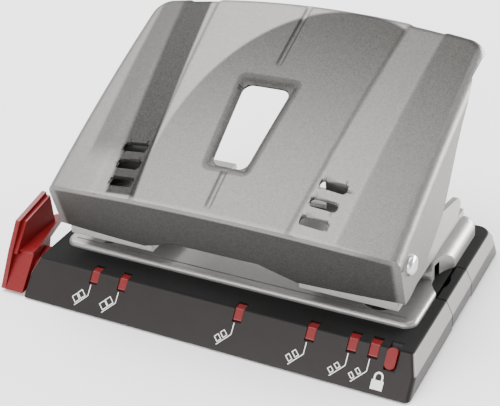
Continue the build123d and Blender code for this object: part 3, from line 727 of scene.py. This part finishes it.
class PUNCH_OT_works(bpy.types.Operator):
    """Brackets, punches, springs, dies and fasteners"""

    bl_idname = "punch.works"
    bl_label = "Punch works"

    def execute(self, context):
        bracket = silver_paint("bracket_paint", 1.1)
        zinc = steel("zinc_steel", 0.62, 0.34)
        tool = steel("tool_steel", 0.5, 0.24, (1, 1, 0.05))
        spring = steel("spring_steel", 0.36, 0.3)
        rivet = steel("rivet_steel", 0.62, 0.3)
        for side in ("left", "right"):
            give(f"punch_bracket_{side}", bracket)
            give(f"guide_bush_{side}", zinc)
            give(f"die_ring_{side}", tool)
            give(f"punch_pin_{side}", tool)
            give(f"spring_washer_{side}", zinc)
            give(f"pin_spring_{side}", spring)
            give(f"hinge_rivet_{side}", rivet)
            give(f"hinge_washer_{side}", zinc)
        for node in ("bracket_rivets", "floor_screws", "press_bar"):
            give(node, zinc)
        give("hatch_pin", steel("pin_steel", 0.5, 0.3))
        give("guide_detent_spring", spring)
        return {"FINISHED"}


class PUNCH_OT_guide(bpy.types.Operator):
    """Red paper guide, its lock and the lenses of the format windows"""

    bl_idname = "punch.guide"
    bl_label = "Paper guide and lock"

    def execute(self, context):
        colours = context.scene.punch_colours
        give("paper_guide", moulded_plastic("red_plastic", colours.guide_red, 0.3, 0.008 * MM))
        lock = moulded_plastic("lock_red_plastic", colours.guide_red, 0.3, 0.008 * MM)
        give("guide_lock", lock)
        give("format_lenses", lock)
        return {"FINISHED"}


# ------------------------------------------------------------------ stage
def area_light(name, place, aim, size, power):
    """A soft rectangular lamp that faces a point."""
    light = bpy.data.lights.new(name, "AREA")
    light.shape = "RECTANGLE"
    light.size, light.size_y = size
    light.energy = power
    lamp = bpy.data.objects.new(name, light)
    bpy.context.scene.collection.objects.link(lamp)
    lamp.location = place
    lamp.rotation_euler = (Vector(aim) - Vector(place)).to_track_quat("-Z", "Y").to_euler()


class PUNCH_OT_stage(bpy.types.Operator):
    """Floor, soft studio light and camera"""

    bl_idname = "punch.stage"
    bl_label = "Stage"

    def execute(self, context):
        stage = context.scene.punch_stage
        bpy.ops.object.select_all(action="DESELECT")
        bpy.ops.mesh.primitive_plane_add(size=stage.floor_size, location=(0, 0, 0))
        floor = context.object
        floor.name = "stage_floor"
        pale = Finish("stage_pale", roughness=0.9)
        pale.paint((0.93, 0.93, 0.93))
        floor.data.materials.append(pale.material)
        world = bpy.data.worlds.new("stage_world")
        context.scene.world = world
        world.use_nodes = True
        world.node_tree.nodes["Background"].inputs["Color"].default_value = (1, 1, 1, 1)
        world.node_tree.nodes["Background"].inputs["Strength"].default_value = 0.8
        for light in LIGHTS:
            area_light(*light)
        data = bpy.data.cameras.new("camera")
        camera = bpy.data.objects.new("camera", data)
        context.scene.collection.objects.link(camera)
        data.lens = stage.lens
        data.sensor_width = 36
        data.clip_start = 0.01
        a, e, r = stage.azimuth, stage.elevation, stage.roll
        ahead = Vector((-math.sin(a) * math.cos(e), math.cos(a) * math.cos(e), -math.sin(e)))
        level = Vector((math.cos(a), math.sin(a), 0))
        up = level.cross(ahead)
        right = level * math.cos(r) + up * math.sin(r)
        top = up * math.cos(r) - level * math.sin(r)
        turn = Matrix((right, top, -ahead)).transposed().to_4x4()
        camera.matrix_world = Matrix.Translation(stage.place) @ turn
        context.scene.camera = camera
        return {"FINISHED"}


class PUNCH_PT_panel(bpy.types.Panel):
    """Lists the punch's pieces and sizes"""

    bl_idname = "PUNCH_PT_panel"
    bl_label = "Hole punch"
    bl_space_type = "VIEW_3D"
    bl_region_type = "UI"
    bl_category = "Hole punch"

    def draw(self, context):
        for operator in OPERATORS:
            self.layout.operator(operator.bl_idname)
        for group in ("punch_lever", "punch_colours", "punch_stage"):
            settings = getattr(context.scene, group)
            for name in settings.__annotations__:
                self.layout.prop(settings, name)


OPERATORS = (PUNCH_OT_base, PUNCH_OT_works, PUNCH_OT_lever, PUNCH_OT_guide, PUNCH_OT_marks, PUNCH_OT_stage)
GROUPS = {"punch_lever": LeverSizes, "punch_colours": FinishColours, "punch_stage": StageSizes}


def register():
    for group in GROUPS.values():
        bpy.utils.register_class(group)
    for name, group in GROUPS.items():
        setattr(bpy.types.Scene, name, bpy.props.PointerProperty(type=group))
    for operator in OPERATORS:
        bpy.utils.register_class(operator)
    bpy.utils.register_class(PUNCH_PT_panel)


def unregister():
    bpy.utils.unregister_class(PUNCH_PT_panel)
    for operator in reversed(OPERATORS):
        bpy.utils.unregister_class(operator)
    for name, group in GROUPS.items():
        delattr(bpy.types.Scene, name)
        bpy.utils.unregister_class(group)


def main():
    register()
    bpy.ops.punch.base()
    bpy.ops.punch.works()
    bpy.ops.punch.lever()
    bpy.ops.punch.guide()
    bpy.ops.punch.marks()
    bpy.ops.punch.stage()
    bpy.context.view_layer.update()


if __name__ == "__main__":
    main()
